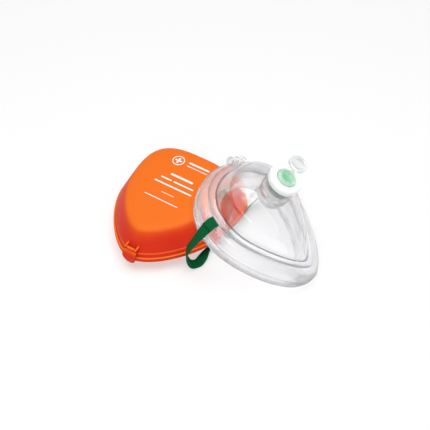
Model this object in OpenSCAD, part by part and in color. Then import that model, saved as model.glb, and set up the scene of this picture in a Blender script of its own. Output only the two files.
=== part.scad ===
// Pocket resuscitation mask with a one-way valve, a head strap and its hard case.
// Millimetres. The case stands on z = 0, centred on its base, with its hinge toward +Y.
// The mask leans on the lid, with its chin end up and its nose end on the table.

/* [Case] */
// length of the rim, from latch tip to hinge edge
case_len = 128.7; // [100:0.1:170]
// width of the rim
case_wid = 113.4; // [80:0.1:150]
// height of the parting line
rim_z = 15; // [8:0.5:30]
// height of the lid above the parting line
lid_h = 28.1; // [15:0.1:60]
// wall thickness of the case
case_wall = 1.8; // [1:0.1:4]
// how far the top face is shifted toward the hinge
top_shift = 4.4; // [0:0.1:12]

/* [Latch] */
// width of the latch flap
latch_wid = 14; // [8:0.5:30]
// radius of the latch pin
latch_pin_r = 0.8; // [0.5:0.1:2]

/* [Mask] */
// length of the dome where it meets the flange
dome_len = 104.8; // [80:0.1:130]
// width of the dome where it meets the flange
dome_wid = 74.1; // [55:0.1:100]
// height of the dome up to the valve collar
dome_h = 31.5; // [20:0.1:50]
// thickness of the mask shell
shell_t = 1.6; // [1:0.1:3]
// how far the flange stands out from the dome
flange_w = 7; // [3:0.5:12]
// outer length of the air cushion
cushion_len = 133.6; // [100:0.1:160]
// outer width of the air cushion
cushion_wid = 108.8; // [80:0.1:140]
// width of the cushion tube
tube_wid = 23; // [12:0.5:34]
// height of the cushion tube
tube_h = 24; // [12:0.5:34]
// where the middle of the flange is
mask_at = [94.2, 18.1, 48.9];
// how the mask is turned
mask_turn = [24.4, 8.7, 82.8];

/* [Valve] */
// outer radius of the clear valve body
body_r = 14.88; // [12:0.01:20]
// radius of the spigot that fits a 22 mm port
spigot_r = 11; // [10:0.01:12]
// outer radius of the 15 mm mouth tube
tube_r = 7.5; // [6:0.01:9]
// inner radius of the mouth tube
tube_bore_r = 5.9; // [4:0.01:7]
// outer radius of the white cap
cap_r = 15.33; // [12:0.01:20]
// radius of the flip cap
lidlet_r = 8.6; // [7:0.1:12]
// direction in which the flip cap lies open
flip_dir = 10; // [0:1:359]

/* [Strap] */
// width of the elastic strap
strap_wid = 10; // [6:0.5:25]
// thickness of the elastic strap
strap_t = 1.2; // [0.6:0.1:3]

/* [Hidden] */

orange = [0.95, 0.36, 0.10];
clear = [0.86, 0.90, 0.92, 0.45];
white = [0.96, 0.97, 0.96];
green = [0.10, 0.62, 0.33];
steel = [0.72, 0.73, 0.75];

ring_pts = 72;
$fn = 64;

// An outline is [length, width, taper, roundness toward +Y, roundness toward -Y, shift].
rim = [case_len, case_wid, 0.172, 3.67, 1.74, 0];
top = [case_len - 22.8, case_wid - 27.6, 0.159, 3.13, 1.70, top_shift];
dome_foot = [dome_len, dome_wid, 0.282, 2.03, 1.62, 0];
cushion_mid = [cushion_len - tube_wid, cushion_wid - tube_wid, 0.285, 1.94, 1.94, -2.5];
cushion_z = -0.5 - shell_t - tube_h / 2;
port_y = 10.06;
collar_r = spigot_r + 2.2;
collar_top = dome_h + 1.5;
valve_z = collar_top + 0.3;

function mix(a, b, s) = a + (b - a) * s;
function power(v, p) = sign(v) * pow(abs(v), p);
function inset(o, d) = [o[0] - 2 * d, o[1] - 2 * d, o[2], o[3], o[4], o[5]];

// A closed egg-shaped ring of points at height z.
function egg(o, z) = [for (i = [0 : ring_pts - 1])
    let (a = 360 * i / ring_pts, n = sin(a) > 0 ? o[3] : o[4], v = power(sin(a), 2 / n))
    [power(cos(a), 2 / n) * o[1] / 2 * (1 + o[2] * v), v * o[0] / 2 + o[5], z]];

// Skins a list of rings: a closed loop of rings, or a stack that is capped at both ends.
module skin(rings, loop = false) {
    m = len(rings[0]);
    last = len(rings) - (loop ? 1 : 2);
    sides = [for (i = [0 : last], j = [0 : m - 1])
        let (a = i * m, b = ((i + 1) % len(rings)) * m, k = (j + 1) % m)
        each [[a + j, b + j, b + k], [a + j, b + k, a + k]]];
    caps = loop ? [] : [[for (j = [0 : m - 1]) j],
        [for (j = [m - 1 : -1 : 0]) (len(rings) - 1) * m + j]];
    polyhedron([for (r = rings) each r], concat(sides, caps));
}

module ring(ro, ri, h) {
    difference() {
        cylinder(r = ro, h = h);
        translate([0, 0, -1]) cylinder(r = ri, h = h + 2);
    }
}

module rod_x(r, l) {
    rotate([0, 90, 0]) cylinder(r = r, h = l, center = true);
}

module rod_y(r, l) {
    rotate([90, 0, 0]) cylinder(r = r, h = l, center = true);
}

// ---- Case ----

hinge_y = case_len / 2 + 3.4;
hinge_r = 2.8;
hinge_pin_r = 1.25;
latch_z = rim_z + 10;
latch_y = -case_len / 2 + 2.6;

// Each step is [share of the way from rim to top face, height above the parting line].
lid_steps = [[0.06, 2.2], [0.27, 9], [0.52, 16], [0.74, 22], [0.90, 25.5], [1.02, 27.3],
    [1.20, lid_h]];

function lid_ring(s, h, t) = egg(inset(mix(rim, top, s), t + 2 * max(0, 1 - s)), rim_z + h);

// The first ring closes the mouth, so the hollow is cut by its own inner skin.
module lid_hollow() {
    inner = [for (p = lid_steps) lid_ring(p[0], p[1] - case_wall * (p[0] > 0.8 ? 1 : 0.5),
        case_wall)];
    skin(concat([egg(inset(rim, 4.2), rim_z - 1)], inner));
}

module lid_solid() {
    skin(concat([egg(rim, rim_z + 0.15), egg(rim, rim_z + 1.7)],
        [for (p = lid_steps) lid_ring(p[0], p[1], 0)]));
}

module knuckle(x, l, side) {
    translate([x, hinge_y, rim_z]) rod_x(hinge_r, l);
    translate([x - l / 2, hinge_y - 6.5, side > 0 ? rim_z + 0.15 : rim_z - 2.4])
        cube([l, 6.5, 2.25]);
}

module case_lid() {
    color(orange) difference() {
        union() {
            lid_solid();
            for (x = [-24, 0, 24]) knuckle(x, 11.4, 1);
            for (x = [-5.6, 5.6]) hull() {
                translate([x, latch_y, latch_z]) rod_x(1.6, 2);
                translate([x, latch_y + 4, latch_z]) rod_x(2.2, 2);
            }
        }
        lid_hollow();
        translate([0, hinge_y, rim_z]) rod_x(hinge_pin_r + 0.06, 70);
        translate([0, latch_y, latch_z]) rod_x(latch_pin_r, 20);
        for (x = [-12, 12]) translate([x - 6.05, hinge_y - 3.15, rim_z - 4]) cube([12.1, 8, 8]);
    }
}

// Each step is [inset from the rim, height].
base_steps = [[12, 0], [10.2, 1.2], [3.6, rim_z - 3.4], [3, rim_z - 2.6]];

module case_base() {
    color(orange) difference() {
        union() {
            skin(concat([for (p = base_steps) egg(inset(rim, p[0]), p[1])],
                [egg(rim, rim_z - 2.3), egg(rim, rim_z - 0.15),
                egg(inset(rim, 4.2), rim_z - 0.15), egg(inset(rim, 5.6), rim_z - 3.4),
                egg(inset(rim, 12.2), 2.6), egg(inset(rim, 14.5), case_wall)]));
            for (x = [-12, 12]) knuckle(x, 11.4, -1);
        }
        translate([0, hinge_y, rim_z]) rod_x(hinge_pin_r, 70);
        for (x = [-24, 0, 24]) translate([x - 6.05, hinge_y - 3.15, rim_z - 4]) cube([12.1, 8, 8]);
    }
}

module case_hinge_pin() {
    color(steel) translate([0, hinge_y, rim_z]) rod_x(hinge_pin_r, 60);
}

module latch_pin() {
    color(steel) translate([0, latch_y, latch_z]) rod_x(latch_pin_r, 13.2);
}

// The flap stops just outside the rim, so it swings clear of it.
module latch_flap() {
    face = -case_len / 2;
    color(orange) difference() {
        union() {
            translate([0, latch_y, latch_z]) rod_x(1.6, 8.8);
            intersection() {
                translate([-latch_wid / 2, 0, 0]) rotate([90, 0, 90]) linear_extrude(latch_wid)
                    polygon([[latch_y - 0.2, latch_z - 1.5], [latch_y - 1.55, latch_z + 0.3],
                        [face - 1.7, latch_z - 4], [face - 2.4, rim_z + 0.5],
                        [face - 2.2, rim_z - 2.6], [face - 1.4, rim_z - 4.2],
                        [face - 0.5, rim_z - 4.2], [face - 0.5, rim_z + 3.4]]);
                translate([0, face, latch_z - 5.8]) rotate([90, 0, 0])
                    cylinder(r = 8.4, h = 12, center = true);
            }
        }
        translate([0, latch_y, latch_z]) rod_x(latch_pin_r + 0.06, 20);
        for (x = [-7.5, 4.5]) translate([x, latch_y - 3, latch_z - 2.2]) cube([3, 8, 6]);
    }
}

// ---- Mask ----

// Everything on the mask is drawn round the middle of its flange, chin toward +Y.
module on_mask() {
    translate(mask_at) rotate(mask_turn) children();
}

// Each step is [share of the way from dome foot to collar, height]: at chin, side and nose.
dome_steps = [[[0, 0], [0, 0], [0, 0]],
    [[0.03, 6], [0.02, 4.5], [0.02, 2.5]],
    [[0.08, 12], [0.05, 9.5], [0.07, 5]],
    [[0.15, 18], [0.09, 14.5], [0.16, 7.5]],
    [[0.24, 22.5], [0.16, 17.6], [0.28, 10.5]],
    [[0.42, 25.8], [0.34, 20.8], [0.42, 15]],
    [[0.62, 28.4], [0.55, 24.8], [0.60, 21.5]],
    [[0.80, 30.3], [0.78, 28.8], [0.80, 27.5]],
    [[1, dome_h], [1, dome_h], [1, dome_h]]];
ridge_h = 2.6;
ridge_wid = 13;

function dome_step(k, v) = mix(dome_steps[k][1], dome_steps[k][v > 0 ? 0 : 2], v * v);

function dome_ring(k, t) =
    let (foot = egg(inset(dome_foot, t), 0),
        reach = 2 * (collar_r - 0.8 - 0.4 * t),
        collar = egg([reach, reach, 0, 2, 2, port_y], 0))
    [for (i = [0 : ring_pts - 1])
        let (step = dome_step(k, sin(360 * i / ring_pts)),
            p = mix(foot[i], collar[i], step[0]),
            rise = ridge_h * sin(180 * min(1, step[0] * 1.25)))
        [p[0], p[1], step[1] - t + rise * exp(-pow(p[0] / ridge_wid, 2))]];

// The clear moulding of the mask is drawn in three stretches: flange, dome and collar.
module mask_flange() {
    wide = inset(dome_foot, -flange_w);
    narrow = inset(dome_foot, shell_t);
    color(clear) on_mask() difference() {
        skin([egg(wide, 0), egg(narrow, 0), egg(narrow, -shell_t), egg(wide, -shell_t)],
            loop = true);
        on_port_place() {
            translate([0, 0, -2 * port_h]) cylinder(r = port_r + 0.1, h = 2 * port_h);
            translate([0, 0, -1.4]) cylinder(r = port_r + 0.7, h = 6);
        }
    }
}

module mask_dome() {
    last = len(dome_steps) - 1;
    outer = [for (k = [0 : last]) dome_ring(k, 0)];
    inner = [for (k = [last : -1 : 1]) dome_ring(k, shell_t)];
    color(clear) on_mask() difference() {
        skin(concat(outer, inner, [egg(inset(dome_foot, shell_t), 0)]), loop = true);
        translate([0, port_y, dome_h - 12]) cylinder(r = collar_r + 0.02, h = 30);
    }
}

module valve_collar() {
    color(clear) on_mask() translate([0, port_y, dome_h - 9])
        ring(collar_r, spigot_r + 0.08, collar_top - dome_h + 9);
}

module air_cushion() {
    steps = 20;
    color(clear) on_mask() skin([for (i = [0 : steps - 1])
        let (a = 360 * i / steps, c = cos(a) * tube_wid / 2)
        egg(inset(cushion_mid, -c), cushion_z + sin(a) * tube_h / 2)], loop = true);
}

lug_at = [45.8, 23.5, -0.8];
lug_turn = 9;
bar_out = 5.4;

// A clear hook with a slot and a bar that the strap is folded round.
module strap_lug() {
    difference() {
        translate([0, -8, 0]) cube([bar_out + 1, 16, 1.8]);
        translate([1.2, -5.5, -1]) cube([bar_out - 2, 11, 4]);
    }
    translate([-2.2, -6, 1.1]) cube([3, 12, 0.7]);
}

module strap_lugs() {
    color(clear) on_mask() for (side = [-1, 1])
        translate([side * lug_at[0], lug_at[1], lug_at[2]]) rotate([0, 0, side * lug_turn])
            mirror([side < 0 ? 1 : 0, 0, 0]) strap_lug();
}

// ---- Strap: points of its middle line, then the direction of its width ----

strap_path = [
    [67.4, -24.9, 67.9, -0.86, 0.33, 0.38],
    [66.7, -27.5, 68.6, -0.86, 0.33, 0.38],
    [65.9, -30.2, 68.7, -0.86, 0.34, 0.38],
    [63.8, -36.6, 66.4, -0.80, 0.48, 0.35],
    [59.4, -41.0, 58.0, -0.70, 0.66, 0.25],
    [53.8, -42.8, 46.0, -0.62, 0.78, 0.10],
    [48.4, -42.0, 33.0, -0.58, 0.81, 0.05],
    [45.8, -39.6, 20.0, -0.56, 0.82, 0.05],
    [45.8, -35.6, 8.0, -0.56, 0.82, 0.05],
    [47.2, -31.6, 2.3, -0.66, 0.75, 0],
    [49.8, -26.6, 1.0, -0.82, 0.57, 0],
    [50.2, -20.0, 1.9, -0.95, 0.26, -0.14],
    [49.9, -13.0, 3.9, -0.80, 0.12, -0.58],
    [50.6, -4.0, 5.2, -0.60, 0.10, -0.80],
    [52.4, 6.0, 5.2, -0.58, 0.08, -0.81],
    [54.2, 22.0, 5.2, -0.59, 0.04, -0.81],
    [55.2, 38.0, 5.3, -0.59, -0.04, -0.81],
    [55.6, 52.0, 5.8, -0.56, -0.20, -0.80],
    [58.4, 64.0, 8.4, -0.50, -0.10, -0.86],
    [63.6, 73.6, 14.0, -0.55, 0.30, -0.75],
    [71.0, 81.4, 23.0, -0.80, 0.30, -0.40],
    [77.0, 86.0, 33.0, -0.86, 0.28, 0.20],
    [80.0, 86.0, 42.0, -0.88, 0.20, 0.40],
    [79.8, 80.0, 50.2, -0.90, 0.06, 0.42],
    [79.3, 75.4, 52.6, -0.91, 0.02, 0.43],
    [79.3, 72.7, 53.0, -0.91, 0.02, 0.43],
    [79.4, 70.2, 52.7, -0.91, 0.02, 0.43]];

function unit(v) = v / norm(v);
function curve(p, t) =
    let (n = len(p) - 1, i = min(floor(t), n - 1), u = t - i,
        a = p[max(i - 1, 0)], b = p[i], c = p[i + 1], d = p[min(i + 2, n)])
    (2 * b + (c - a) * u + (2 * a - 5 * b + 4 * c - d) * u * u
        + (3 * b - a - 3 * c + d) * u * u * u) / 2;
function at(v) = [v[0], v[1], v[2]];
function way(v) = [v[3], v[4], v[5]];

function strap_ring(t) =
    let (e = len(strap_path) - 1, here = curve(strap_path, t),
        run = unit(at(curve(strap_path, min(t + 0.05, e))) - at(curve(strap_path, max(t - 0.05, 0)))),
        face = unit(cross(run, way(here))), wide = cross(face, run))
    [for (c = [[-1, -1], [1, -1], [1, 1], [-1, 1]])
        at(here) + wide * c[0] * strap_wid / 2 + face * c[1] * strap_t / 2];

module head_strap() {
    steps = 6 * (len(strap_path) - 1);
    color(green) skin([for (i = [0 : steps]) strap_ring(i * (len(strap_path) - 1) / steps)]);
}

// ---- Inflation port of the air cushion ----

port_at = [10, 59.9, 3.6];
port_turn = [0, 61, 149];
port_roll = 167;
port_r = 4.3;
port_h = 8.5;
port_bore_r = 2.7;
plug_hinge = [7, 0, 0.95];
plug_swing = 250;

module on_port_place() {
    translate(port_at) rotate(port_turn) rotate([0, 0, port_roll]) children();
}

module on_port() {
    on_mask() on_port_place() children();
}

// The tube stands in a notch of the flange and ends just above the cushion.
module inflation_port() {
    color(clear) difference() {
        on_port() {
            translate([0, 0, -port_h]) cylinder(r = port_r, h = port_h);
            translate([0, 0, -1.2]) cylinder(r = port_r + 0.5, h = 1.2);
            for (y = [-2.4, 1.4]) {
                translate([port_r - 0.1, y, -1.2]) cube([plug_hinge[0] + 0.9 - port_r, 1, 1.2]);
                translate([plug_hinge[0], y + 0.5, plug_hinge[2]]) rod_y(0.85, 1);
                translate([plug_hinge[0] - 0.85, y, -0.6]) cube([1.7, 1, plug_hinge[2] + 0.6]);
            }
            translate(plug_hinge) rod_y(0.5, 4.8);
        }
        on_port() translate([0, 0, -6]) cylinder(r = port_bore_r, h = 7);
        on_mask() translate([-20, 30, -20]) cube([60, 50, 20 - shell_t - 0.3]);
    }
}

// Drawn closed on the port, then swung back on its tether.
module inflation_plug() {
    color(clear) on_port() translate(plug_hinge) rotate([0, plug_swing, 0]) translate(-plug_hinge) {
        difference() {
            union() {
                translate([0, 0, 0.3]) cylinder(r = port_r, h = 1.3);
                translate([0, 0, -1]) cylinder(r = 2.3, h = 2);
                translate([3, -1, 0.4]) cube([plug_hinge[0] - 3, 2, 1.1]);
                translate(plug_hinge) rod_y(1.1, 2);
            }
            translate(plug_hinge) rod_y(0.56, 6);
        }
    }
}

// ---- One-way valve, drawn upward from the top of the collar ----

body_h = 14.1;
seal_z = body_h + 0.05;
mouth_h = 23.2;
cap_top = 21;
diaphragm_z = 17.2;
hinge_d = 9.8;

module on_valve() {
    on_mask() translate([0, port_y, valve_z]) rotate([0, 0, flip_dir]) children();
}

module valve_body() {
    color(clear) on_valve() rotate_extrude($fn = 96) polygon([[9.2, -11], [spigot_r - 0.3, -11],
        [spigot_r, -10.4], [spigot_r, 0], [body_r - 1.8, 0], [body_r - 0.5, 0.6],
        [body_r, 1.9], [body_r, body_h], [12.9, body_h], [12.9, 3.2], [9.2, 3.2]]);
}

module filter_pad() {
    color(white) on_valve() translate([0, 0, 3.25]) cylinder(r = 12.7, h = 2.6);
}

module spoked_disc(r, h, hole_r, hole_at) {
    difference() {
        cylinder(r = r, h = h);
        for (a = [0 : 60 : 300]) rotate([0, 0, a]) translate([hole_at, 0, -1])
            cylinder(r = hole_r, h = h + 2);
    }
}

module filter_retainer() {
    color(white) on_valve() translate([0, 0, 6]) spoked_disc(12.8, 1.4, 3.1, 7.6);
}

module diaphragm_guard() {
    color(clear) on_valve() {
        translate([0, 0, 14.5]) spoked_disc(12.2, 1.3, 3.1, 7.6);
        translate([0, 0, 7.5]) ring(12.2, 11.2, 7.1);
    }
}

module valve_seal() {
    color(green) on_valve() translate([0, 0, seal_z]) ring(body_r + 0.15, 12.3, 1);
}

module diaphragm() {
    color(green) on_valve() translate([0, 0, diaphragm_z]) cylinder(r = 11.8, h = 0.9);
}

module valve_cap() {
    color(white) on_valve() rotate_extrude($fn = 96) polygon([[12.6, seal_z + 1.05],
        [cap_r, seal_z + 1.05], [cap_r, cap_top - 1.6], [cap_r - 0.5, cap_top - 0.5],
        [cap_r - 1.6, cap_top], [9.6, cap_top], [9.4, cap_top - 0.2], [9.4, diaphragm_z + 1.3],
        [12.6, diaphragm_z + 1.3]]);
}

module mouth_tube() {
    foot = diaphragm_z + 1.1;
    color(clear) on_valve() {
        difference() {
            union() {
                translate([0, 0, foot]) cylinder(r = tube_r, h = mouth_h - foot);
                for (a = [90, 210, 330]) rotate([0, 0, a]) translate([tube_r - 1, -1, foot + 0.4])
                    cube([9.35 - tube_r + 1, 2, 1.6]);
            }
            translate([0, 0, foot - 1]) cylinder(r = tube_bore_r, h = 20);
        }
    }
}

module tether_ring() {
    color(clear) on_valve() difference() {
        union() {
            translate([0, 0, cap_top + 0.1]) cylinder(r = 8.7, h = 1);
            for (y = [-3, 2]) translate([0, y, 0]) {
                translate([8, 0, cap_top + 0.1]) cube([2.6, 1, 2.1]);
                translate([hinge_d, 0.5, mouth_h]) rod_y(0.85, 1);
            }
            translate([hinge_d, 0, mouth_h]) rod_y(0.5, 5);
        }
        translate([0, 0, cap_top - 1]) cylinder(r = tube_r + 0.05, h = 4);
    }
}

// Drawn closed on the mouth tube, then laid open by half a turn.
module flip_cap() {
    color(clear) on_valve() translate([hinge_d, 0, mouth_h]) rotate([0, 180, 0])
        translate([-hinge_d, 0, 0]) difference() {
            union() {
                translate([0, 0, 0.25]) cylinder(r = lidlet_r, h = 1.5);
                translate([0, 0, -0.8]) ring(5.6, 4.5, 2);
                translate([lidlet_r - 1, -1.6, 0.3]) cube([2.2, 3.2, 1.2]);
                translate([hinge_d, 0, 0]) rod_y(1.1, 3.2);
            }
            translate([hinge_d, 0, 0]) rod_y(0.56, 6);
        }
}

case_base();
case_lid();
case_hinge_pin();
latch_flap();
latch_pin();
mask_flange();
mask_dome();
valve_collar();
air_cushion();
strap_lugs();
head_strap();
inflation_port();
inflation_plug();
valve_body();
filter_pad();
filter_retainer();
diaphragm_guard();
valve_seal();
diaphragm();
valve_cap();
mouth_tube();
tether_ring();
flip_cap();
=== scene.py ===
import math

import bmesh
import bpy
from mathutils import Euler, Matrix, Vector, noise


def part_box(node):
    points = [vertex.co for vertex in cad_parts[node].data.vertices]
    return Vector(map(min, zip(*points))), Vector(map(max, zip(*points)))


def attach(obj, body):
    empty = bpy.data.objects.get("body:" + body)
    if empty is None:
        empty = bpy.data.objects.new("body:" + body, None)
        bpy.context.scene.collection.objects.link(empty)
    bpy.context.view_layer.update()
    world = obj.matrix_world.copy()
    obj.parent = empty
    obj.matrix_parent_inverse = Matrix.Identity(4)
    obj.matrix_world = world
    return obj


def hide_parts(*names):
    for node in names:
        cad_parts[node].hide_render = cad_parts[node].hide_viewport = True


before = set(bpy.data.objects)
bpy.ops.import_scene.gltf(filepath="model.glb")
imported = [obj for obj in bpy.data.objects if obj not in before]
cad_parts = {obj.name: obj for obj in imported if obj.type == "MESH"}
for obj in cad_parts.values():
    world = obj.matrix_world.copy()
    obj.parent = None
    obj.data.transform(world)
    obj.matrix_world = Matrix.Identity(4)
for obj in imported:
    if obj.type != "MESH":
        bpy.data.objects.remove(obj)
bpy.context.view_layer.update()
MM = 0.001


# ---------------------------------------------------------------- sizes, in millimetres

RING = 240                     # points round an outline
WALL = 1.8                     # wall of the case
SHELL = 1.6                    # wall of the mask
SKIN = 0.7                     # skin of the air cushion

lid_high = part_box("case_lid")[1]
base_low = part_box("case_base")[0]
pin_low, pin_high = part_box("case_hinge_pin")
latch_pin_low, latch_pin_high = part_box("latch_pin")

HINGE_Y = (pin_low[1] + pin_high[1]) / 2 / MM
RIM_Z = (pin_low[2] + pin_high[2]) / 2 / MM
LID_TOP = lid_high[2] / MM
LID_H = LID_TOP - RIM_Z
LATCH_Y = (latch_pin_low[1] + latch_pin_high[1]) / 2 / MM
LATCH_Z = (latch_pin_low[2] + latch_pin_high[2]) / 2 / MM
CASE_WID = 113.4
CASE_LEN = 2 * (HINGE_Y - 3.4)

# An outline is [length, width, taper, roundness toward +Y, roundness toward -Y, shift].
RIM = [CASE_LEN, CASE_WID, 0.172, 3.67, 1.74, 0]
TOP = [CASE_LEN - 22.8, CASE_WID - 27.6, 0.159, 3.13, 1.70, 4.4]
DOME = [104.8, 74.1, 0.282, 2.03, 1.62, 0]
CUSHION = [110.6, 85.8, 0.285, 1.94, 1.94, -2.5]
TUBE_W, TUBE_H = 23, 24
CUSHION_Z = -0.5 - SHELL - TUBE_H / 2

MASK_AT = Vector((94.2, 18.1, 48.9))
MASK_TURN = Euler([math.radians(a) for a in (24.4, 8.7, 82.8)])
DOME_H = 31.5
PORT_Y = 10.06
SPIGOT_R = 11
COLLAR_R = SPIGOT_R + 2.2
COLLAR_TOP = DOME_H + 1.5
FLANGE = 7


# ---------------------------------------------------------------- mesh helpers

def power(v, p):
    return math.copysign(abs(v) ** p, v)


def mix(a, b, s):
    return [x + (y - x) * s for x, y in zip(a, b)]


def inset(outline, d):
    return [outline[0] - 2 * d, outline[1] - 2 * d] + list(outline[2:])


def egg(o, z, points=RING):
    """A closed egg-shaped ring of points at height z."""
    ring = []
    for i in range(points):
        a = 2 * math.pi * (i + 0.5) / points
        n = o[3] if math.sin(a) > 0 else o[4]
        v = power(math.sin(a), 2 / n)
        x = power(math.cos(a), 2 / n) * o[1] / 2 * (1 + o[2] * v)
        ring.append(Vector((x, v * o[0] / 2 + o[5], z)))
    return ring


def smooth_steps(points, per_span):
    """More points on one smooth curve through the given ones."""
    out = []
    last = len(points) - 1
    for i in range(last):
        a, b = points[max(i - 1, 0)], points[i]
        c, d = points[i + 1], points[min(i + 2, last)]
        for k in range(per_span):
            u = k / per_span
            out.append([(2 * q + (r - p) * u + (2 * p - 5 * q + 4 * r - s) * u * u
                         + (3 * q - p - 3 * r + s) * u ** 3) / 2
                        for p, q, r, s in zip(a, b, c, d)])
    out.append(list(points[-1]))
    return out


def new_object(name, bm, material, smooth=True):
    bmesh.ops.recalc_face_normals(bm, faces=bm.faces)
    mesh = bpy.data.meshes.new(name)
    bm.to_mesh(mesh)
    bm.free()
    for face in mesh.polygons:
        face.use_smooth = smooth
    obj = bpy.data.objects.new(name, mesh)
    bpy.context.scene.collection.objects.link(obj)
    mesh.materials.append(material)
    return obj


def add_loft(bm, rings, loop=False, first_cap=False, last_cap=False):
    rows = [[bm.verts.new(p * MM) for p in ring] for ring in rings]
    spans = len(rows) if loop else len(rows) - 1
    for i in range(spans):
        low, high = rows[i], rows[(i + 1) % len(rows)]
        for j in range(len(low)):
            k = (j + 1) % len(low)
            bm.faces.new((low[j], low[k], high[k], high[j]))
    for ring, wanted in ((rows[0], first_cap), (rows[-1], last_cap)):
        if wanted:
            middle = sum((v.co for v in ring), Vector()) / len(ring)
            hub = bm.verts.new(middle)
            for j in range(len(ring)):
                bm.faces.new((ring[j], ring[(j + 1) % len(ring)], hub))


def add_rod_x(bm, radius, length, at, sides=40, bevel=0.25):
    """A rod along X with slightly broken ends."""
    half = length / 2
    rings = []
    for x, r in ((-half, radius - bevel), (-half + bevel, radius),
                 (half - bevel, radius), (half, radius - bevel)):
        rings.append([Vector((at[0] + x, at[1] + r * math.cos(2 * math.pi * i / sides),
                              at[2] + r * math.sin(2 * math.pi * i / sides)))
                      for i in range(sides)])
    add_loft(bm, rings, first_cap=True, last_cap=True)


def add_plate_x(bm, profile, x_low, x_high, bevel=0.3):
    """A plate with the given (y, z) profile, from x_low to x_high, with broken edges."""
    middle = Vector((0, sum(p[0] for p in profile), sum(p[1] for p in profile))) / len(profile)
    rings = []
    for x, shrink in ((x_low, bevel), (x_low + bevel, 0), (x_high - bevel, 0), (x_high, bevel)):
        ring = []
        for y, z in profile:
            p = Vector((x, y, z))
            toward = Vector((0, middle.y - y, middle.z - z))
            ring.append(p + toward.normalized() * shrink)
        rings.append(ring)
    add_loft(bm, rings, first_cap=True, last_cap=True)


def add_bevel(obj, width, segments=3, angle=35):
    mod = obj.modifiers.new("edge", "BEVEL")
    mod.width = width * MM
    mod.segments = segments
    mod.limit_method = "ANGLE"
    mod.angle_limit = math.radians(angle)
    mod.harden_normals = False
    return mod


# ---------------------------------------------------------------- materials

def material(name, colour, rough, **values):
    m = bpy.data.materials.new(name)
    m.use_nodes = True
    bsdf = m.node_tree.nodes["Principled BSDF"]
    bsdf.inputs["Base Color"].default_value = (*colour, 1)
    bsdf.inputs["Roughness"].default_value = rough
    for key, value in values.items():
        bsdf.inputs[key.replace("_", " ")].default_value = value
    return m


def add_bump(m, scale, strength, distance, detail=4, stretch=(1, 1, 1)):
    nodes, links = m.node_tree.nodes, m.node_tree.links
    bsdf = nodes["Principled BSDF"]
    place = nodes.new("ShaderNodeTexCoord")
    turn = nodes.new("ShaderNodeMapping")
    turn.inputs["Scale"].default_value = stretch
    grain = nodes.new("ShaderNodeTexNoise")
    grain.inputs["Scale"].default_value = scale
    grain.inputs["Detail"].default_value = detail
    bump = nodes.new("ShaderNodeBump")
    bump.inputs["Strength"].default_value = strength
    bump.inputs["Distance"].default_value = distance
    links.new(place.outputs["Object"], turn.inputs["Vector"])
    links.new(turn.outputs["Vector"], grain.inputs["Vector"])
    links.new(grain.outputs["Fac"], bump.inputs["Height"])
    links.new(bump.outputs["Normal"], bsdf.inputs["Normal"])
    return m


def clear_plastic(name, tint, rough, ior=1.45, haze=0.0, body=0.5, shade=0.88):
    """Clear plastic: haze is how milky it is, body how much of it is seen at all, and shade how
    much of the lamps' light goes through each face."""
    m = material(name, tint, rough, Transmission_Weight=1.0 - haze, IOR=ior, Alpha=body)
    nodes, links = m.node_tree.nodes, m.node_tree.links
    ray = nodes.new("ShaderNodeLightPath")
    lit = nodes.new("ShaderNodeBsdfTransparent")
    lit.inputs["Color"].default_value = (shade, shade, shade, 1)
    either = nodes.new("ShaderNodeMixShader")
    links.new(ray.outputs["Is Shadow Ray"], either.inputs[0])
    links.new(nodes["Principled BSDF"].outputs[0], either.inputs[1])
    links.new(lit.outputs[0], either.inputs[2])
    links.new(either.outputs[0], nodes["Material Output"].inputs["Surface"])
    return m


def orange_plastic():
    """Moulded orange plastic with painted shade: faces that point up get a lighter orange and steep
    walls a redder, darker orange, as light from above would give.
    """
    m = add_bump(material("case_orange", (0.9, 0.16, 0.016), 0.45, IOR=1.35,
                          Specular_IOR_Level=0.1), 900, 0.05, 0.0003)
    nodes, links = m.node_tree.nodes, m.node_tree.links
    bsdf = nodes["Principled BSDF"]
    place = nodes.new("ShaderNodeTexCoord")
    split = nodes.new("ShaderNodeSeparateXYZ")
    flat = nodes.new("ShaderNodeMath")
    flat.operation = "ABSOLUTE"
    # Painted shade: the ramp on how far the normal points up makes the tops lighter and the walls
    # redder and darker.
    ramp = nodes.new("ShaderNodeValToRGB")
    low, high = ramp.color_ramp.elements
    low.position, low.color = 0.42, (0.72, 0.035, 0.012, 1)
    high.position, high.color = 0.86, (0.83, 0.165, 0.018, 1)
    links.new(place.outputs["Normal"], split.inputs["Vector"])
    links.new(split.outputs["Z"], flat.inputs[0])
    links.new(flat.outputs["Value"], ramp.inputs["Fac"])
    links.new(ramp.outputs["Color"], bsdf.inputs["Base Color"])
    return m


case_orange = orange_plastic()
pin_steel = material("pin_steel", (0.62, 0.63, 0.65), 0.3, Metallic=1.0)
print_white = material("print_white", (0.9, 0.88, 0.85), 0.45)
dome_clear = clear_plastic("dome_clear", (0.93, 0.935, 0.95), 0.02, 1.4, body=0.72,
                           shade=0.86)
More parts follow.
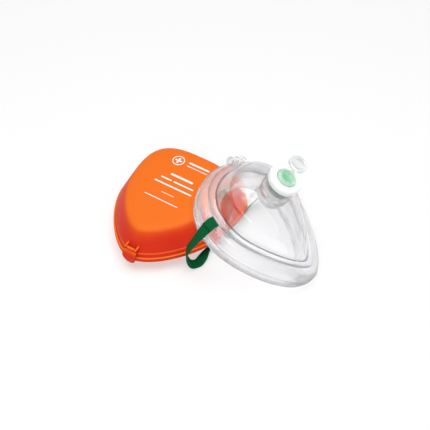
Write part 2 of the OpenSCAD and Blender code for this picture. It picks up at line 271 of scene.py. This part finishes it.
# Painted shade: a dark clear material for the dome's edges, in place of the dark lines refraction
# draws there.
dome_painted_dark_edge = clear_plastic("dome_painted_dark_edge", (0.06, 0.065, 0.10), 0.05, haze=0.45, body=0.8)
seam_clear = clear_plastic("seam_clear", (0.6, 0.6, 0.63), 0.12, haze=0.3, body=0.75)
cushion_clear = add_bump(clear_plastic("cushion_clear", (0.93, 0.93, 0.94), 0.07, 1.4,
                                       haze=0.1, body=0.85,
                                       shade=0.86), 60, 0.16, 0.002)
lug_clear = clear_plastic("lug_clear", (0.95, 0.955, 0.96), 0.05, haze=0.1, body=0.8)
port_clear = clear_plastic("port_clear", (0.93, 0.935, 0.94), 0.06, haze=0.12, body=0.9)
plug_clear = clear_plastic("plug_clear", (0.93, 0.935, 0.94), 0.08, haze=0.15, body=0.9)
valve_clear = clear_plastic("valve_clear", (0.97, 0.98, 0.98), 0.03, haze=0.04, body=0.7)
guard_clear = clear_plastic("guard_clear", (0.95, 0.96, 0.955), 0.06, haze=0.1)
tube_clear = clear_plastic("tube_clear", (0.90, 0.965, 0.93), 0.06, haze=0.25, body=0.95)
flip_clear = clear_plastic("flip_clear", (0.91, 0.945, 0.925), 0.05, haze=0.1, body=0.9)
cap_white = material("cap_white", (0.94, 0.945, 0.94), 0.28, IOR=1.48,
                     Subsurface_Weight=0.25, Subsurface_Scale=0.004)
retainer_white = material("retainer_white", (0.85, 0.86, 0.86), 0.45)
filter_white = add_bump(material("filter_white", (0.88, 0.89, 0.87), 0.9), 1500, 0.5, 0.0004)
seal_green = material("seal_green", (0.05, 0.36, 0.17), 0.38, IOR=1.42)
diaphragm_green = add_bump(material("diaphragm_green", (0.2, 0.53, 0.3), 0.4), 700, 0.2, 0.0003)


def strap_material():
    """Green webbing: fine ribs across the strap, from the UV map, with painted shade: the rib bands
    mix a lit and a shaded copy of the green.
    """
    m = material("strap_green", (0.006, 0.2, 0.06), 0.6, Specular_IOR_Level=0.05)
    nodes, links = m.node_tree.nodes, m.node_tree.links
    bsdf = nodes["Principled BSDF"]
    uv = nodes.new("ShaderNodeUVMap")
    uv.uv_map = "UVMap"
    ribs = nodes.new("ShaderNodeTexWave")
    ribs.wave_type = "BANDS"
    ribs.bands_direction = "X"
    ribs.inputs["Scale"].default_value = 0.3
    yarn = nodes.new("ShaderNodeTexWave")
    yarn.wave_type = "BANDS"
    yarn.bands_direction = "Y"
    yarn.inputs["Scale"].default_value = 0.8
    both = nodes.new("ShaderNodeMath")
    both.operation = "MULTIPLY"
    # Painted shade: a dark copy of the green in the low bands between the ribs and a lighter one on
    # their tops.
    shade = nodes.new("ShaderNodeMixRGB")
    shade.inputs["Color1"].default_value = (0.0006, 0.03, 0.008, 1)
    shade.inputs["Color2"].default_value = (0.003, 0.19, 0.062, 1)
    bump = nodes.new("ShaderNodeBump")
    bump.inputs["Strength"].default_value = 0.5
    bump.inputs["Distance"].default_value = 0.0003
    links.new(uv.outputs["UV"], ribs.inputs["Vector"])
    links.new(uv.outputs["UV"], yarn.inputs["Vector"])
    links.new(ribs.outputs["Fac"], both.inputs[0])
    links.new(yarn.outputs["Fac"], both.inputs[1])
    links.new(ribs.outputs["Fac"], shade.inputs["Fac"])
    links.new(shade.outputs["Color"], bsdf.inputs["Base Color"])
    links.new(both.outputs["Value"], bump.inputs["Height"])
    links.new(bump.outputs["Normal"], bsdf.inputs["Normal"])
    return m


strap_green = strap_material()
thread_green = add_bump(material("thread_green", (0.001, 0.035, 0.012), 0.8), 2000, 0.5, 0.0002)


# ---------------------------------------------------------------- the case

# Each step is (share of the way from rim to top face, height above the parting line).
LID_STEPS = smooth_steps([(0.06, 2.2), (0.14, 5.0), (0.165, 5.9), (0.27, 9), (0.40, 12.6),
                          (0.52, 16), (0.63, 19.0), (0.72, 21.4), (0.80, 23.3), (0.88, 24.9),
                          (0.98, 26.2), (1.11, 27.2), (1.28, 27.8), (1.50, LID_H)], 4)
BAND_H, BAND_OUT = 5.6, 0.75     # the wall steps out by this much below this height
LID_LIP = [(0.5, 0.15), (0, 0.5), (0, 1.3), (0.15, 1.6), (0.5, 1.72), (1.7, 1.8)]


def crown(p):
    """The top face: nearly flat, a little hollow across and rounded down at the edges."""
    return -0.35 * (p.x / 40) ** 2 + 0.25 * math.sin(p.y / 45)


def lid_ring(share, height, thick):
    band = BAND_OUT / (1 + math.exp((height - BAND_H) * 6)) if not thick else 0
    belly = 0.7 * math.sin(math.pi * min(1, max(0, share))) if not thick else 0
    outline = inset(mix(RIM, TOP, share), thick + 2 * max(0, 1 - share) - band - belly)
    return egg(outline, RIM_Z + height)


def top_face(thick):
    """Rings that close the top, from its edge to its middle."""
    rings = []
    edge = inset(mix(RIM, TOP, LID_STEPS[-1][0]), thick)
    for k in range(1, 15):
        f = 1 - k / 15
        outline = [edge[0] * f, edge[1] * f] + mix(edge[2:5], [0, 2, 2], 1 - f) + [edge[5]]
        fade = min(1, (1 - f) * 3)
        ring = egg(outline, RIM_Z + LID_H - thick)
        for p in ring:
            p.z += (0.12 + crown(p)) * fade * 0.3
        rings.append(ring)
    return rings


def build_lid():
    bm = bmesh.new()
    lip = [egg(inset(RIM, d), RIM_Z + z) for d, z in LID_LIP]
    outer = lip + [lid_ring(s, h, 0) for s, h in LID_STEPS] + top_face(0)
    inner = [lid_ring(s, h - WALL * min(1, h / LID_H + 0.2), WALL) for s, h in LID_STEPS]
    inner = [egg(inset(RIM, 3.9), RIM_Z + 0.15)] + inner + top_face(WALL)
    add_loft(bm, list(reversed(inner)) + outer, first_cap=True, last_cap=True)
    for x in (-24, 0, 24):
        add_rod_x(bm, 2.8, 11.4, (x, HINGE_Y, RIM_Z))
        add_plate_x(bm, [(HINGE_Y - 6.5, RIM_Z + 0.2), (HINGE_Y - 0.5, RIM_Z + 0.2),
                         (HINGE_Y - 0.5, RIM_Z + 2.4), (HINGE_Y - 5.5, RIM_Z + 2.4)],
                    x - 5.7, x + 5.7)
    for x in (-5.6, 5.6):
        add_rod_x(bm, 1.7, 2, (x, LATCH_Y, LATCH_Z), bevel=0.2)
        add_plate_x(bm, [(LATCH_Y, LATCH_Z - 1.7), (LATCH_Y + 5, LATCH_Z - 2.4),
                         (LATCH_Y + 5, LATCH_Z + 2.4), (LATCH_Y, LATCH_Z + 1.7)],
                    x - 1, x + 1, bevel=0.15)
    return new_object("lid_shell", bm, case_orange)


def build_base():
    bm = bmesh.new()
    outer = smooth_steps([(12, 0.8), (11.2, 1.3), (9.2, 3.4), (6.6, RIM_Z - 8),
                          (3.9, RIM_Z - 3.9), (3.0, RIM_Z - 2.7)], 3)
    under = [(20, 0), (13.4, 0), (12.5, 0.25)]
    lip = [(1.2, RIM_Z - 2.3), (0.4, RIM_Z - 2.25), (0, RIM_Z - 1.9), (0, RIM_Z - 0.5),
           (0.4, RIM_Z - 0.15), (4.2, RIM_Z - 0.15)]
    inner = [(5.6, RIM_Z - 3.4), (8.2, RIM_Z - 7.5), (12.2, 2.8), (14.0, 2.0), (18, WALL)]
    steps = under + [tuple(p) for p in outer] + lip + inner
    add_loft(bm, [egg(inset(RIM, d), z) for d, z in steps], first_cap=True, last_cap=True)
    for x in (-12, 12):
        add_rod_x(bm, 2.8, 11.4, (x, HINGE_Y, RIM_Z))
        add_plate_x(bm, [(HINGE_Y - 6.5, RIM_Z - 0.2), (HINGE_Y - 0.5, RIM_Z - 0.2),
                         (HINGE_Y - 0.5, RIM_Z - 2.4), (HINGE_Y - 5.5, RIM_Z - 2.4)],
                    x - 5.7, x + 5.7)
    return new_object("base_shell", bm, case_orange)


def build_latch():
    """A smooth thumb flap with a rounded end; its narrow top wraps the pin between the lugs."""
    bm = bmesh.new()
    face = -CASE_LEN / 2
    half, neck, thick = 6.95, 4.3, 1.5
    pin_r = 1.65
    top, bottom = LATCH_Z + pin_r, RIM_Z - 4.9
    steps = 40
    rings = []
    for k in range(steps + 1):
        t = k / steps
        z = top + (bottom - top) * (1 - math.cos(math.pi * t)) / 2
        if z > LATCH_Z - 0.6:
            round_off = math.sqrt(max(0.01, 1 - ((z - LATCH_Z) / pin_r) ** 2))
            front, back, wide = LATCH_Y - pin_r * round_off, LATCH_Y + pin_r * round_off, neck
        else:
            drop = (LATCH_Z - 0.6 - z) / (LATCH_Z - 0.6 - bottom)
            front = LATCH_Y - pin_r + (face - 2.0 - LATCH_Y + pin_r) * min(1, drop * 2.6) ** 0.7
            front -= 0.5 * math.sin(math.pi * min(1, drop * 1.15))
            back = max(LATCH_Y + pin_r - 6.5 * drop * 2.6, front + thick)
            end = max(0, (drop - 0.42) / 0.58)
            full = half * math.sqrt(max(0.01, 1 - end ** 2.3))
            shoulder = min(1, max(0, (drop - 0.03) / 0.04))
            wide = min(full, neck + (half - neck) * shoulder)
            round_end = math.sqrt(max(0.03, 1 - end ** 8))
            front, back = ((front + back) / 2 - (back - front) / 2 * round_end,
                           (front + back) / 2 + (back - front) / 2 * round_end)
        rings.append([Vector((power(math.cos(a), 0.3) * wide,
                              (front + back) / 2 + power(math.sin(a), 0.55) * (back - front) / 2,
                              z))
                      for a in (2 * math.pi * (i + 0.5) / 48 for i in range(48))])
    add_loft(bm, rings, first_cap=True, last_cap=True)
    return new_object("latch_shell", bm, case_orange)


# ---------------------------------------------------------------- the plain marks on the lid

def top_height(x, y):
    p = Vector((x, y, 0))
    return LID_TOP + (0.12 + crown(p)) * 0.3


def build_marks():
    """Plain bars where the case is printed, and a ring with a plus in it."""
    bm = bmesh.new()
    film = 0.12

    def patch(points):
        low = [bm.verts.new(Vector((x, y, top_height(x, y) + 0.02)) * MM) for x, y in points]
        high = [bm.verts.new(Vector((x, y, top_height(x, y) + film)) * MM) for x, y in points]
        bm.faces.new(high)
        bm.faces.new(list(reversed(low)))
        for i in range(len(points)):
            k = (i + 1) % len(points)
            bm.faces.new((low[i], low[k], high[k], high[i]))

    def bar(x0, x1, y, tall):
        r = tall / 2
        points = []
        for centre, start in ((x1 - r, -90), (x0 + r, 90)):
            for i in range(9):
                a = math.radians(start + 22.5 * i)
                points.append((centre + r * math.cos(a), y + r * math.sin(a)))
        patch(points)

    def arc(cx, cy, r_in, r_out, parts=48):
        for i in range(parts):
            a, b = (2 * math.pi * k / parts for k in (i, i + 1))
            patch([(cx + r_in * math.cos(a), cy + r_in * math.sin(a)),
                   (cx + r_out * math.cos(a), cy + r_out * math.sin(a)),
                   (cx + r_out * math.cos(b), cy + r_out * math.sin(b)),
                   (cx + r_in * math.cos(b), cy + r_in * math.sin(b))])

    arc(-15.5, 40.5, 5.2, 6.2)
    patch([(-19, 39.6), (-12, 39.6), (-12, 41.4), (-19, 41.4)])
    patch([(-16.4, 41.4), (-14.6, 41.4), (-14.6, 44), (-16.4, 44)])
    patch([(-16.4, 37), (-14.6, 37), (-14.6, 39.6), (-16.4, 39.6)])
    bar(-5, 18, 43.2, 2.0)
    bar(-5, 18, 38.8, 0.8)
    bar(-12, 13, 22, 2.4)
    for x0, x1, y, tall in ((-18, -6, 14.6, 1.6), (-4, 18, 14.6, 1.6), (-21, 20, 8, 1.6),
                            (-6.5, 7, -1.8, 0.6), (-19, 17.5, -10.9, 0.9)):
        bar(x0, x1, y, tall)
    return new_object("lid_print", bm, print_white, smooth=False)


# ---------------------------------------------------------------- the mask

ON_MASK = Matrix.Translation(MASK_AT) @ MASK_TURN.to_matrix().to_4x4()


def on_mask(rings):
    return [[ON_MASK @ p for p in ring] for ring in rings]


# Each step is (share of the way from dome foot to collar, height): at chin, side and nose.
DOME_STEPS = smooth_steps([(0, 0, 0, 0, 0, 0), (0.012, 2.5, 0.008, 1.8, 0.008, 1),
                           (0.03, 6, 0.02, 4.5, 0.02, 2.5), (0.08, 12, 0.05, 9.5, 0.07, 5),
                           (0.15, 18, 0.09, 14.5, 0.16, 7.5), (0.185, 20.9, 0.115, 16.6, 0.21, 9.1),
                           (0.24, 22.8, 0.16, 17.8, 0.28, 10.7),
                           (0.32, 24.3, 0.24, 18.9, 0.35, 12.6),
                           (0.42, 25.8, 0.34, 20.8, 0.42, 15), (0.62, 28.4, 0.55, 24.8, 0.60, 21.5),
                           (0.80, 30.3, 0.78, 28.8, 0.80, 27.5),
                           (1, DOME_H, 1, DOME_H, 1, DOME_H)], 5)
RIDGE_H, RIDGE_WID = 2.6, 13
DARK_EDGES = range(14, 21)       # spans of the profile, counted from the underside, that get the painted dark edge


def dome_ring(step, thick):
    foot = egg(inset(DOME, thick), 0)
    reach = 2 * (COLLAR_R - 0.8 - 0.4 * thick)
    collar = egg([reach, reach, 0, 2, 2, PORT_Y], 0)
    ring = []
    for i, (a, b) in enumerate(zip(foot, collar)):
        v = math.sin(2 * math.pi * (i + 0.5) / RING)
        share, height = mix(step[2:4], step[0:2] if v > 0 else step[4:6], v * v)
        rise = RIDGE_H * math.sin(math.pi * min(1, share * 1.25))
        p = a.lerp(b, share)
        p.z = height - thick + rise * math.exp(-(p.x / RIDGE_WID) ** 2)
        ring.append(p)
    return ring


def circle(r, z, y=PORT_Y):
    return egg([2 * r, 2 * r, 0, 2, 2, y], z)


def build_dome():
    """Flange, dome and collar in one clear moulding, with a bead round the foot of the dome."""
    bm = bmesh.new()
    outer = [dome_ring(step, 0) for step in DOME_STEPS]
    inner = [dome_ring(step, SHELL) for step in reversed(DOME_STEPS)]
    edge = [(FLANGE - 0.1, -SHELL), (FLANGE, -SHELL + 0.35), (FLANGE, -0.3), (FLANGE - 0.3, 0.15),
            (FLANGE - 0.9, 0.3), (FLANGE - 1.5, 0.15), (FLANGE - 1.9, -0.25), (FLANGE - 2.4, -0.35),
            (FLANGE - 3.2, -0.35), (FLANGE - 3.7, -0.1), (FLANGE - 4.1, 0.6), (FLANGE - 4.8, 1.1),
            (FLANGE - 5.6, 1.1), (FLANGE - 6.2, 0.6), (FLANGE - 6.5, -0.2), (FLANGE - 6.7, -0.7),
            (FLANGE - 6.9, -0.7)]
    flange = [egg(inset(DOME, -d), z) for d, z in edge]
    collar_out = [circle(COLLAR_R, DOME_H + 0.2), circle(COLLAR_R, COLLAR_TOP - 0.5),
                  circle(COLLAR_R - 0.5, COLLAR_TOP)]
    collar_in = [circle(SPIGOT_R + 0.5, COLLAR_TOP), circle(SPIGOT_R + 0.08, COLLAR_TOP - 0.4),
                 circle(SPIGOT_R + 0.08, DOME_H - 8.6), circle(SPIGOT_R + 0.4, DOME_H - 9),
                 circle(COLLAR_R - 0.4, DOME_H - 9), circle(COLLAR_R - 0.1, DOME_H - 8.6),
                 circle(COLLAR_R - 0.1, DOME_H - SHELL - 1.0)]
    rings = flange + outer[:-1] + collar_out + collar_in + inner[1:]
    add_loft(bm, on_mask(rings), loop=True)
    # Painted shade: the thick moulded corners, at the foot of the dome and round the flange, get a
    # dark material that stands in for the dark lines refraction draws along clear edges.
    bm.faces.ensure_lookup_table()
    for k in DARK_EDGES:
        for i in range(RING):
            bm.faces[k * RING + i].material_index = 1
    obj = new_object("dome_shell", bm, dome_clear)
    obj.data.materials.append(dome_painted_dark_edge)
    return obj


SEAMS = [math.radians(a) for a in (22, 325)]      # moulding lines round the outside
AROUND = 90


def cushion_rings(thick):
    rings = []
    for i in range(AROUND):
        a = 2 * math.pi * i / AROUND
        seam = sum(0.9 * math.exp(-((a - at) / 0.07) ** 2) for at in SEAMS)
        c = math.cos(a) * (TUBE_W / 2 - thick + seam)
        ring = egg(inset(CUSHION, -c), CUSHION_Z + math.sin(a) * (TUBE_H / 2 - thick + seam))
        for p in ring:
            n = noise.noise(Vector((p.x, p.y, p.z)) * 0.045)
            p.z += 0.35 * n * (1 if math.sin(a) < 0 else 0.3)
        rings.append(ring)
    return rings


def build_cushion():
    """A thin clear skin blown up with air, so the solid has an inner face too."""
    bm = bmesh.new()
    add_loft(bm, on_mask(cushion_rings(0)), loop=True)
    bm.faces.ensure_lookup_table()
    for at in SEAMS:
        start = int(at / (2 * math.pi) * AROUND) * RING
        for i in range(start, start + RING):
            bm.faces[i].material_index = 1
    add_loft(bm, on_mask([list(reversed(r)) for r in cushion_rings(SKIN)]), loop=True)
    obj = new_object("cushion_skin", bm, cushion_clear)
    obj.data.materials.append(seam_clear)
    return obj


# ---------------------------------------------------------------- the strap

STRAP_WID, STRAP_T = 10, 1.2
FOLD = 11.5                    # length of the strap's sewn end
# Points of its middle line, then the direction of its width.
STRAP_PATH = [
    (67.4, -24.9, 67.9, -0.86, 0.33, 0.38),
    (66.7, -27.5, 68.6, -0.86, 0.33, 0.38),
    (65.9, -30.2, 68.7, -0.86, 0.34, 0.38),
    (63.8, -36.6, 66.4, -0.80, 0.48, 0.35),
    (59.4, -41.0, 58.0, -0.70, 0.66, 0.25),
    (53.8, -42.8, 46.0, -0.62, 0.78, 0.10),
    (48.4, -42.0, 33.0, -0.58, 0.81, 0.05),
    (45.8, -39.6, 20.0, -0.56, 0.82, 0.05),
    (45.8, -35.6, 8.0, -0.56, 0.82, 0.05),
    (47.2, -31.6, 2.3, -0.66, 0.75, 0),
    (49.8, -26.6, 1.0, -0.82, 0.57, 0),
    (50.2, -20.0, 1.9, -0.95, 0.26, -0.14),
    (49.9, -13.0, 3.9, -0.80, 0.12, -0.58),
    (50.6, -4.0, 5.2, -0.60, 0.10, -0.80),
    (52.4, 6.0, 5.2, -0.58, 0.08, -0.81),
    (54.2, 22.0, 5.2, -0.59, 0.04, -0.81),
    (55.2, 38.0, 5.3, -0.59, -0.04, -0.81),
    (55.6, 52.0, 5.8, -0.56, -0.20, -0.80),
    (58.4, 64.0, 8.4, -0.50, -0.10, -0.86),
    (63.6, 73.6, 14.0, -0.55, 0.30, -0.75),
    (71.0, 81.4, 23.0, -0.80, 0.30, -0.40),
    (77.0, 86.0, 33.0, -0.86, 0.28, 0.20),
    (80.0, 86.0, 42.0, -0.88, 0.20, 0.40),
    (79.8, 80.0, 50.2, -0.90, 0.06, 0.42),
    (79.3, 75.4, 52.6, -0.91, 0.02, 0.43),
    (79.3, 72.7, 53.0, -0.91, 0.02, 0.43),
    (79.4, 70.2, 52.7, -0.91, 0.02, 0.43),
]


def webbing(name, frames):
    """A closed band with rounded edges, from (along, at, wide, face, width) at each place."""
    bm = bmesh.new()
    uv = bm.loops.layers.uv.new("UVMap")
    sections = 20
    rows, marks = [], []
    for along, at, wide, face, width in frames:
        row, mark = [], []
        for k in range(sections):
            a = 2 * math.pi * k / sections
            u = power(math.cos(a), 0.25) * width / 2
            v = power(math.sin(a), 0.55) * STRAP_T / 2
            row.append(bm.verts.new((at + wide * u + face * v) * MM))
            mark.append((along, u))
        rows.append(row)
        marks.append(mark)
    for i in range(len(rows) - 1):
        for k in range(sections):
            j = (k + 1) % sections
            f = bm.faces.new((rows[i][k], rows[i][j], rows[i + 1][j], rows[i + 1][k]))
            for loop, m in zip(f.loops, (marks[i][k], marks[i][j], marks[i + 1][j],
                                         marks[i + 1][k])):
                loop[uv].uv = m
    bm.faces.new(rows[0])
    bm.faces.new(list(reversed(rows[-1])))
    return new_object(name, bm, strap_green)


def build_strap():
    path = smooth_steps(STRAP_PATH, 8)
    frames = []
    run_length = 0
    for i, here in enumerate(path):
        before, after = path[max(i - 1, 0)], path[min(i + 1, len(path) - 1)]
        at = Vector(here[:3])
        run = (Vector(after[:3]) - Vector(before[:3])).normalized()
        face = run.cross(Vector(here[3:])).normalized()
        wide = face.cross(run)
        if i:
            run_length += (at - Vector(path[i - 1][:3])).length
        frames.append((run_length, at, wide, face, STRAP_WID))
    return webbing("strap_webbing", frames)


def strap_frames(from_far_end):
    """Place, run, width and upper face along the strap, with the length walked so far."""
    path = smooth_steps(STRAP_PATH, 8)
    if from_far_end:
        path.reverse()
    frames = []
    along, up = 0, None
    for i in range(len(path) - 1):
        at, after = Vector(path[i][:3]), Vector(path[i + 1][:3])
        before = Vector(path[max(i - 1, 0)][:3])
        run = (after - before).normalized()
        face = run.cross(Vector(path[i][3:])).normalized()
        up = up or math.copysign(1, face.z)
        face *= up
        along += (at - before).length
        frames.append((along, at, run, face.cross(run), face))
    return frames


def build_fold(name, from_far_end):
    """The strap's end, folded over the bar of the lug and sewn down on the strap."""
    frames = []
    for along, at, run, wide, face in strap_frames(from_far_end):
        if along > FOLD:
            break
        lift = STRAP_T * 1.02 * math.sqrt(1 - max(0, 1 - along / 1.2) ** 2)
        frames.append((along, at + face * lift, wide, face, STRAP_WID * 1.03))
    return webbing(name, frames)


def add_rod(bm, start, end, radius, sides=8):
    """A short rod with pointed ends, such as one stitch."""
    run = (end - start).normalized()
    across = run.orthogonal().normalized()
    other = run.cross(across)
    rings = []
    for share, r in ((0, 0.3), (0.2, 1), (0.8, 1), (1, 0.3)):
        at = start.lerp(end, share)
        rings.append([at + (across * math.cos(a) + other * math.sin(a)) * radius * r
                      for a in (2 * math.pi * i / sides for i in range(sides))])
    add_loft(bm, rings, first_cap=True, last_cap=True)


def build_stitches(name, from_far_end):
    """Two rows of stitches across the sewn end."""
    bm = bmesh.new()
    frames = strap_frames(from_far_end)
    for seam in (FOLD - 3.2, FOLD - 1.5):
        along, at, run, wide, face = min(frames, key=lambda f: abs(f[0] - seam))
        count = 6
        for k in range(count):
            middle = (k + 0.5) / count - 0.5
            place = at + run * (seam - along) + face * STRAP_T * 1.55 + wide * middle * 9
            add_rod(bm, place - wide * 0.55, place + wide * 0.55, 0.22)
    return new_object(name, bm, thread_green)


# ---------------------------------------------------------------- put it together

def replace(obj, node, body):
    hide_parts(node)
    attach(obj, body)


replace(build_lid(), "case_lid", "case_lid")
replace(build_base(), "case_base", "case_base")
replace(build_latch(), "latch_flap", "latch")
dome = build_dome()
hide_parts("mask_flange", "mask_dome", "valve_collar")
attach(dome, "mask")
cushion = build_cushion()
replace(cushion, "air_cushion", "mask")
replace(build_strap(), "head_strap", "mask")
for end, far in (("near", False), ("far", True)):
    for piece in (build_fold("strap_fold_" + end, far), build_stitches("stitches_" + end, far)):
        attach(piece, "mask")
marks = build_marks()
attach(marks, "case_lid")

FINISHES = {
    "case_hinge_pin": (pin_steel, 0.2), "latch_pin": (pin_steel, 0.15),
    "strap_lugs": (lug_clear, 0.35), "inflation_port": (port_clear, 0.3),
    "inflation_plug": (plug_clear, 0.3), "valve_body": (valve_clear, 0.25),
    "filter_pad": (filter_white, 0.3), "filter_retainer": (retainer_white, 0.2),
    "diaphragm_guard": (guard_clear, 0.2), "valve_seal": (seal_green, 0.15),
    "diaphragm": (diaphragm_green, 0.2), "valve_cap": (cap_white, 0.3),
    "mouth_tube": (tube_clear, 0.25), "tether_ring": (tube_clear, 0.15),
    "flip_cap": (flip_clear, 0.3),
}
for node, (finish, edge) in FINISHES.items():
    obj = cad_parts[node]
    obj.data.materials.clear()
    obj.data.materials.append(finish)
    add_bevel(obj, edge)


# ---------------------------------------------------------------- camera, floor and light

scene = bpy.context.scene
AIM = Vector((0.03093, 0.03227, 0.0))
DISTANCE, HEIGHT_ANGLE, SIDE_ANGLE = 0.864, 48.484, 32.193

up_angle, side = math.radians(HEIGHT_ANGLE), math.radians(SIDE_ANGLE)
away = Vector((-math.sin(side) * math.cos(up_angle), math.cos(side) * math.cos(up_angle),
               -math.sin(up_angle)))
camera_data = bpy.data.cameras.new("camera")
camera_data.lens = 74.2
camera_data.sensor_width = 36
camera = bpy.data.objects.new("camera", camera_data)
camera.location = AIM - away * DISTANCE
camera.rotation_euler = away.to_track_quat("-Z", "Y").to_euler()
scene.collection.objects.link(camera)
scene.camera = camera


FLOOR_GAP = 0.0002             # the floor lies this far under the case, in metres


def build_floor():
    bm = bmesh.new()
    size = 6.0
    height = base_low[2] - FLOOR_GAP
    corners = [bm.verts.new((x * size, y * size, height)) for x, y in
               ((-1, -1), (1, -1), (1, 1), (-1, 1))]
    bm.faces.new(corners)
    white = material("floor_white", (0.46, 0.46, 0.46), 0.8, Specular_IOR_Level=0.1,
                     Emission_Color=(1, 1, 1, 1), Emission_Strength=0.5)
    floor = new_object("floor", bm, white, smooth=False)


def area_light(name, at, toward, size, watts, colour=(1, 1, 1)):
    data = bpy.data.lights.new(name, "AREA")
    data.shape = "RECTANGLE"
    data.size, data.size_y = size
    data.energy = watts
    data.color = colour
    lamp = bpy.data.objects.new(name, data)
    lamp.location = at
    lamp.rotation_euler = (Vector(toward) - Vector(at)).to_track_quat("-Z", "Y").to_euler()
    scene.collection.objects.link(lamp)


WORLD_LIGHT = 0.62             # strength of the surroundings


def build_world():
    """White overhead and pale at the horizon, with a dark band that draws the clear edges."""
    world = bpy.data.worlds.new("studio")
    scene.world = world
    world.use_nodes = True
    nodes, links = world.node_tree.nodes, world.node_tree.links
    place = nodes.new("ShaderNodeTexCoord")
    split = nodes.new("ShaderNodeSeparateXYZ")
    ramp = nodes.new("ShaderNodeValToRGB")
    steps = ramp.color_ramp.elements
    steps[0].position, steps[0].color = 0.16, (1.3, 1.3, 1.3, 1)
    steps[1].position, steps[1].color = 1.0, (1.0, 1.0, 1.0, 1)
    for height, grey in ((0.2, 0.03), (0.38, 0.1), (0.5, 0.5)):
        steps.new(height).color = (grey, grey, grey * 1.04, 1)
    background = nodes["Background"]
    background.inputs["Strength"].default_value = WORLD_LIGHT
    links.new(place.outputs["Generated"], split.inputs["Vector"])
    links.new(split.outputs["Z"], ramp.inputs["Fac"])
    links.new(ramp.outputs["Color"], background.inputs["Color"])


build_floor()
build_world()
area_light("key", (0.1, -0.1, 1.3), (0.03, 0, 0), (1.1, 1.0), 14)
area_light("front", (0.7, -1.0, 0.7), (0.05, 0, 0), (0.8, 0.6), 1.5)

scene.view_settings.view_transform = "Standard"
